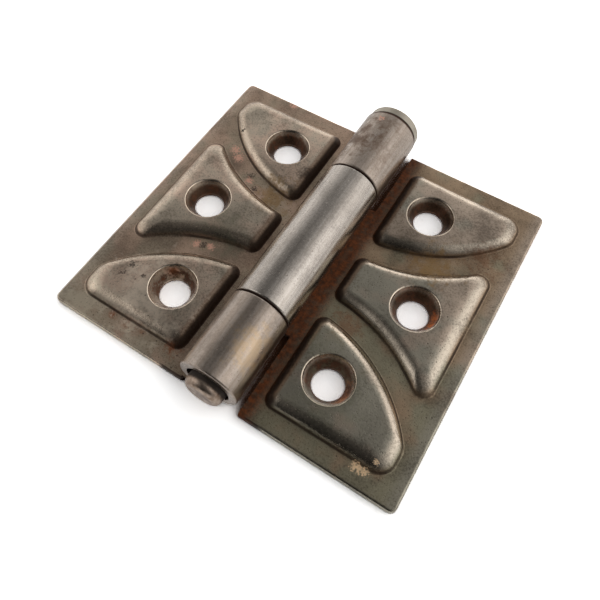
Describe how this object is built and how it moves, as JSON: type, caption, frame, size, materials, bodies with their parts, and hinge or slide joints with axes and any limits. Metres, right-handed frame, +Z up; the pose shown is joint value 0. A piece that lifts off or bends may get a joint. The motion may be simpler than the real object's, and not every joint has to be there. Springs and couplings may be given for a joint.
{
  "type": "cabinet hinge",
  "caption": "Pressed steel cabinet hinge with raised countersunk screw pads on both leaves, a rolled barrel and a loose headed pin.",
  "frame": {"origin": "under the barrel axis at the middle of the barrel, on the plane of the leaf backs", "axes": "+Y along the barrel towards the pin's head, +X towards the leaf with the single long knuckle, +Z up on the pad side"},
  "size_m": [0.0824, 0.0807, 0.0134],
  "materials": {
    "leaf_steel": "aged bare steel, burnished on pads and barrel, brown oxide and rust in the hollows",
    "pin_steel": "worn bare steel"
  },
  "bodies": {
    "left_leaf": {"left_leaf": "leaf_steel"},
    "right_leaf": {"right_leaf": "leaf_steel"},
    "pin": {"hinge_pin": "pin_steel"}
  },
  "joints": [
    {"name": "leaf_swing", "type": "hinge", "parent": "left_leaf", "child": "right_leaf", "pos_m": [0, 0, 0.0067], "axis": [0, -1, 0], "range_deg": [-90, 180]},
    {"name": "pin_draw", "type": "slide", "parent": "left_leaf", "child": "pin", "axis": [0, 1, 0], "range_m": [0, 0.076]}
  ]
}
